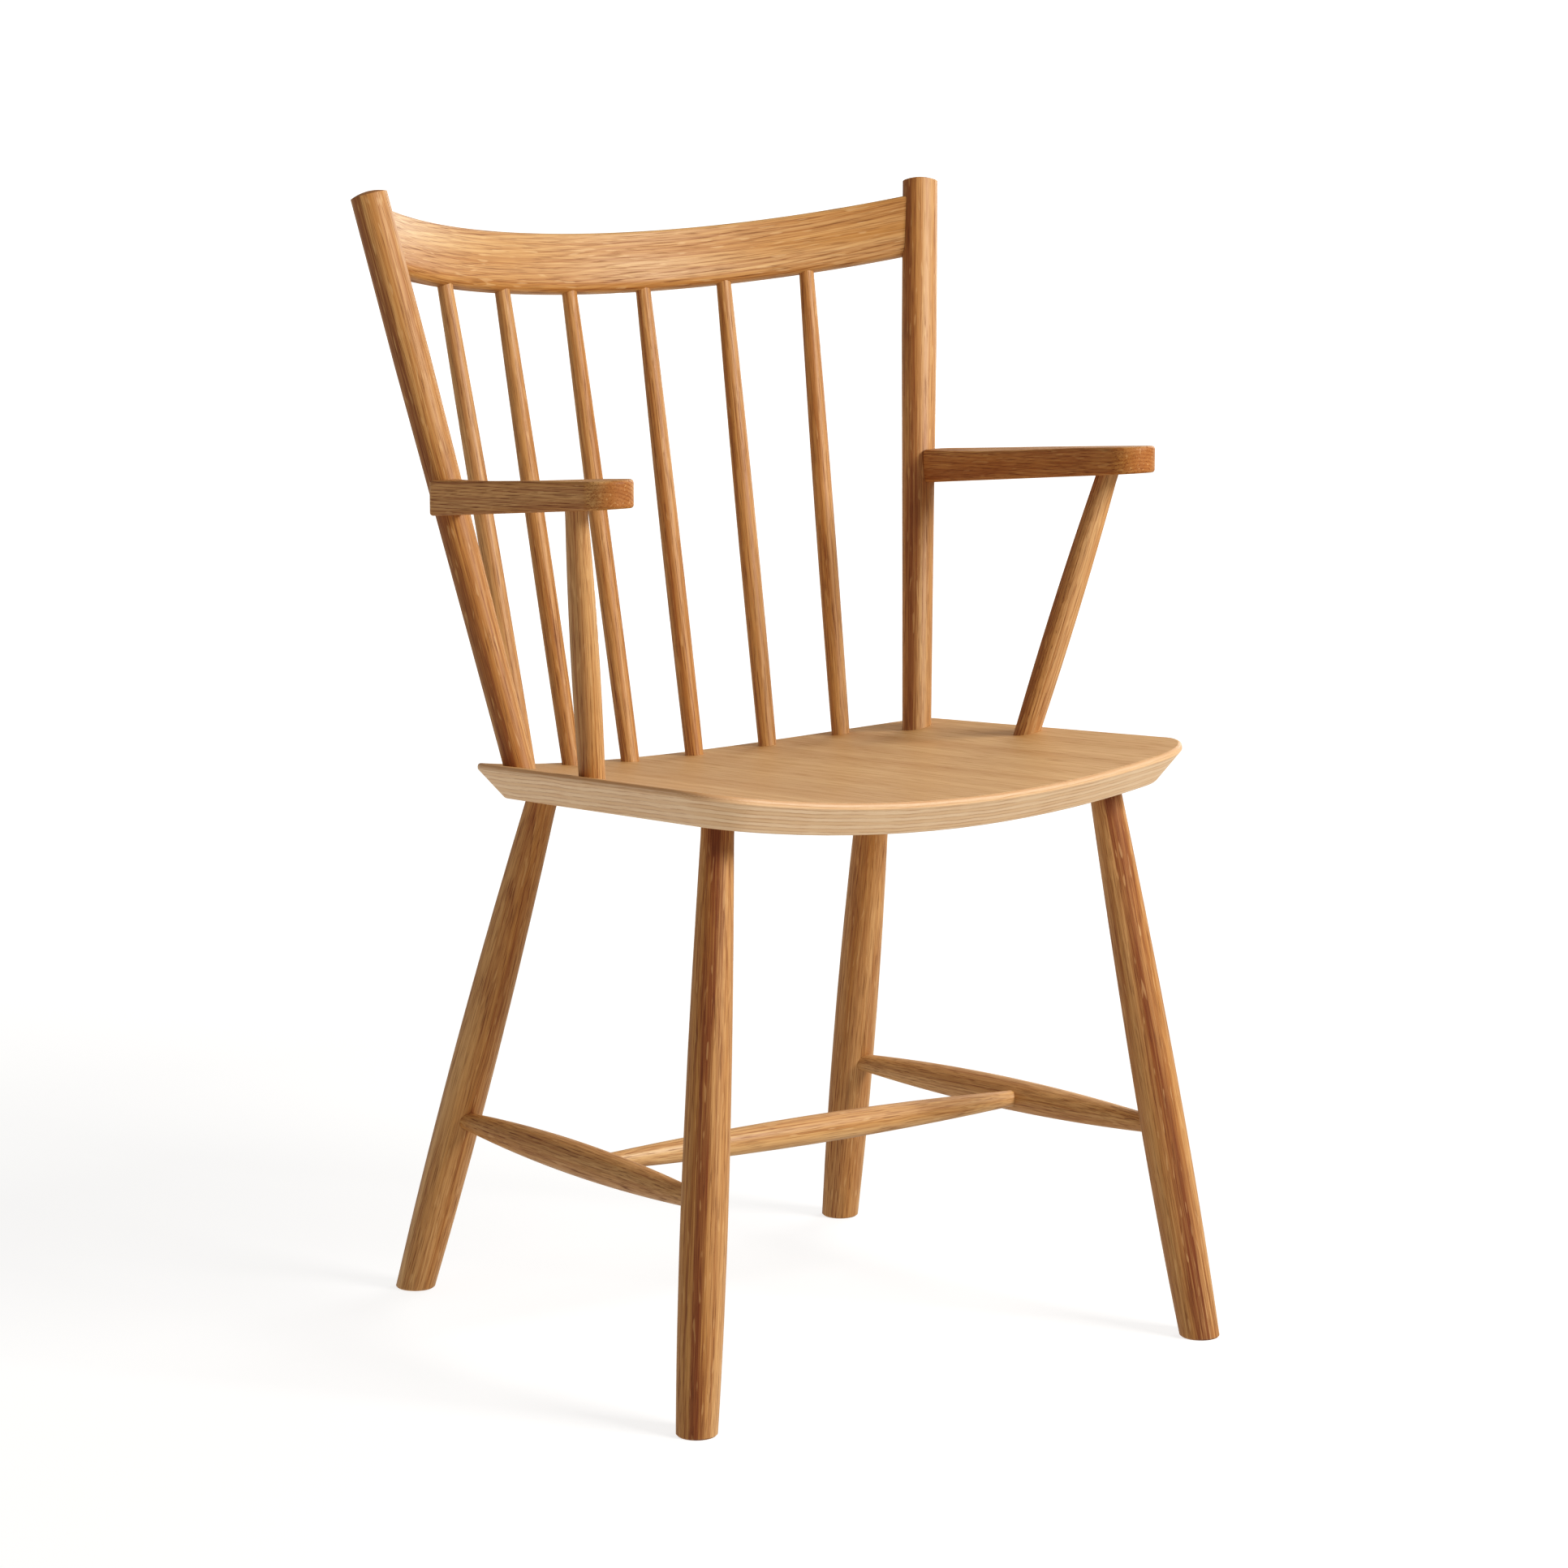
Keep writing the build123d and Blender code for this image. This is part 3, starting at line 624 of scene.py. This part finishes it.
# ---------------------------------------------------------------- floor, light, camera
def stage_object(name, mesh, glow, base):
    """Part of the studio: it shows to the camera and takes shadows, but lights nothing."""
    thing = bpy.data.objects.new(name, mesh)
    bpy.context.scene.collection.objects.link(thing)
    thing.visible_diffuse = False
    thing.visible_glossy = False
    thing.visible_shadow = False
    paint = Nodes(name + "_paint")
    shader = paint.add("ShaderNodeBsdfPrincipled")
    paint.put(shader.inputs["Base Color"], (base, base, base, 1))
    paint.put(shader.inputs["Roughness"], 0.9)
    paint.put(shader.inputs["Specular IOR Level"], 0.0)
    paint.put(shader.inputs["Emission Color"], (1, 1, 1, 1))
    if name == "floor":
        place = paint.add("ShaderNodeTexCoord").outputs["Object"]
        glow = paint.span(paint.vector("LENGTH", place), floor_near, floor_far, glow, room_glow)
    paint.put(shader.inputs["Emission Strength"], glow)
    output = paint.add("ShaderNodeOutputMaterial")
    paint.tree.links.new(shader.outputs[0], output.inputs["Surface"])
    mesh.materials.append(paint.material)


def make_studio():
    """Wide pale floor inside a plain white room."""
    corners = [(room_reach * x, room_reach * y, 0) for x, y in ((-1, -1), (1, -1), (1, 1), (-1, 1))]
    floor = bpy.data.meshes.new("floor")
    floor.from_pydata(corners, [], [(0, 1, 2, 3)])
    stage_object("floor", floor, floor_glow, floor_base)
    wall = bmesh.new()
    bmesh.ops.create_icosphere(wall, subdivisions=3, radius=room_reach)
    room = bpy.data.meshes.new("room")
    wall.to_mesh(room)
    wall.free()
    stage_object("room", room, room_glow, 0.0)


def area_light(name, direction, height, size, power, tint=(1, 1, 1)):
    """Square lamp aimed at the chair, placed by its bearing and its height in degrees."""
    angle = radians(direction)
    rise = radians(height)
    toward = Vector((cos(rise) * cos(angle), -cos(rise) * sin(angle), sin(rise)))
    light = bpy.data.lights.new(name, "AREA")
    light.size = size
    light.energy = power
    light.color = tint
    lamp = bpy.data.objects.new(name, light)
    lamp.location = light_target + light_reach * toward
    lamp.rotation_euler = (-toward).to_track_quat("-Z", "Y").to_euler()
    bpy.context.scene.collection.objects.link(lamp)


def make_sky():
    """Soft even light, brighter from below the horizon than from above it."""
    world = bpy.data.worlds.new("sky")
    world.use_nodes = True
    tree = world.node_tree
    background = tree.nodes["Background"]
    background.inputs["Color"].default_value = (*fill_tint, 1)
    direction = tree.nodes.new("ShaderNodeTexCoord").outputs["Generated"]
    parts = tree.nodes.new("ShaderNodeSeparateXYZ")
    tree.links.new(direction, parts.inputs[0])
    level = tree.nodes.new("ShaderNodeMapRange")
    limits = (-horizon_blend, horizon_blend, floor_light, sky_light)
    for socket, value in zip(level.inputs[1:5], limits):
        socket.default_value = value
    tree.links.new(parts.outputs[2], level.inputs[0])
    tree.links.new(level.outputs[0], background.inputs["Strength"])
    bpy.context.scene.world = world


def make_camera():
    data = bpy.data.cameras.new("camera")
    data.lens = camera_lens
    data.sensor_width = sensor_width
    data.clip_end = clip_distance
    camera = bpy.data.objects.new("camera", data)
    camera.location = camera_place
    camera.rotation_euler = sight.to_track_quat("-Z", "Y").to_euler()
    bpy.context.scene.collection.objects.link(camera)
    bpy.context.scene.camera = camera


def set_print_look():
    """Plain display transform with a gentle contrast curve, black and white left where they are."""
    view = bpy.context.scene.view_settings
    view.view_transform = "Standard"
    view.use_curve_mapping = True
    mapping = view.curve_mapping
    points = mapping.curves[3].points       # the curve for all three channels together
    for level, shown in print_curve:
        points.new(level, shown)
    mapping.update()


make_studio()
area_light("key", key_direction, key_height, key_size, key_power, key_tint)
area_light("rim", rim_direction, rim_height, rim_size, rim_power)
make_sky()
make_camera()
set_print_look()
